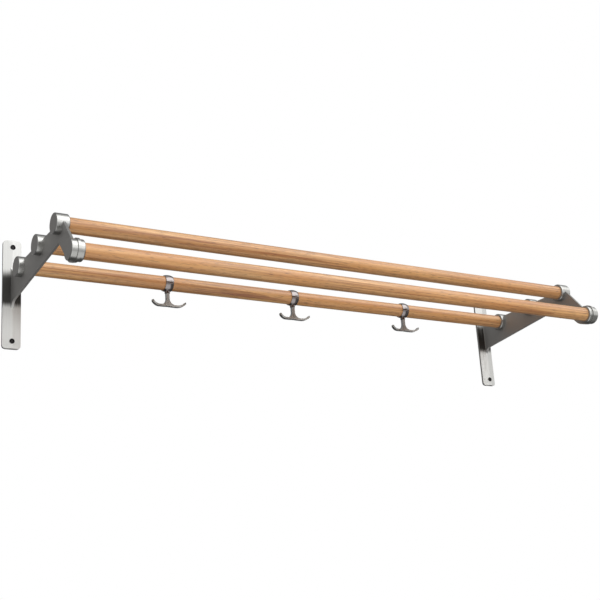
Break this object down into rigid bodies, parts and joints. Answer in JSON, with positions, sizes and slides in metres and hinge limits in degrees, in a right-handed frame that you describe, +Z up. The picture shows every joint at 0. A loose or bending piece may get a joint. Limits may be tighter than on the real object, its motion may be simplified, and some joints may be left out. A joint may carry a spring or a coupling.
{
  "type": "wall hat rack",
  "caption": "Wall hat rack: cast aluminium brackets hold round wooden rods that form an open shelf, with double hooks sliding on the rear rod.",
  "frame": {"origin": "centre of the rectangle of the four wall screw holes, on the wall plane", "axes": "+X along the rods to the right as seen from the room, -Y out of the wall into the room, +Z up"},
  "size_m": [1.01, 0.3063, 0.18],
  "materials": {
    "satin_aluminium": "cast aluminium, ground and satin finished",
    "oak": "turned light oak with a clear matt oil or lacquer",
    "polished_chrome": "polished chrome plate",
    "satin_hook": "satin tumbled casting",
    "plain_steel": "plain turned steel"
  },
  "bodies": {
    "root": {"left_bracket": "satin_aluminium", "right_bracket": "satin_aluminium", "hook_rod": "oak", "middle_rod": "oak", "top_rod": "oak", "front_rod": "oak"},
    "ring_left": {"hook_ring_left": "polished_chrome"},
    "hook_left": {"double_hook_left": "satin_hook", "hook_stud_left": "plain_steel"},
    "ring_middle": {"hook_ring_middle": "polished_chrome"},
    "hook_middle": {"double_hook_middle": "satin_hook", "hook_stud_middle": "plain_steel"},
    "ring_right": {"hook_ring_right": "polished_chrome"},
    "hook_right": {"double_hook_right": "satin_hook", "hook_stud_right": "plain_steel"}
  },
  "joints": [
    {"name": "ring_slide_left", "type": "slide", "parent": "root", "child": "ring_left", "axis": [1, 0, 0], "range_m": [-0.2, 0.085]},
    {"name": "hook_swivel_left", "type": "hinge", "parent": "ring_left", "child": "hook_left", "pos_m": [-0.244, -0.058, 0.0113], "axis": [0, 0, 1], "continuous": true},
    {"name": "ring_slide_middle", "type": "slide", "parent": "root", "child": "ring_middle", "axis": [1, 0, 0], "range_m": [-0.085, 0.085]},
    {"name": "hook_swivel_middle", "type": "hinge", "parent": "ring_middle", "child": "hook_middle", "pos_m": [0, -0.058, 0.0113], "axis": [0, 0, 1], "continuous": true},
    {"name": "ring_slide_right", "type": "slide", "parent": "root", "child": "ring_right", "axis": [1, 0, 0], "range_m": [-0.085, 0.2]},
    {"name": "hook_swivel_right", "type": "hinge", "parent": "ring_right", "child": "hook_right", "pos_m": [0.244, -0.058, 0.0113], "axis": [0, 0, 1], "continuous": true}
  ]
}
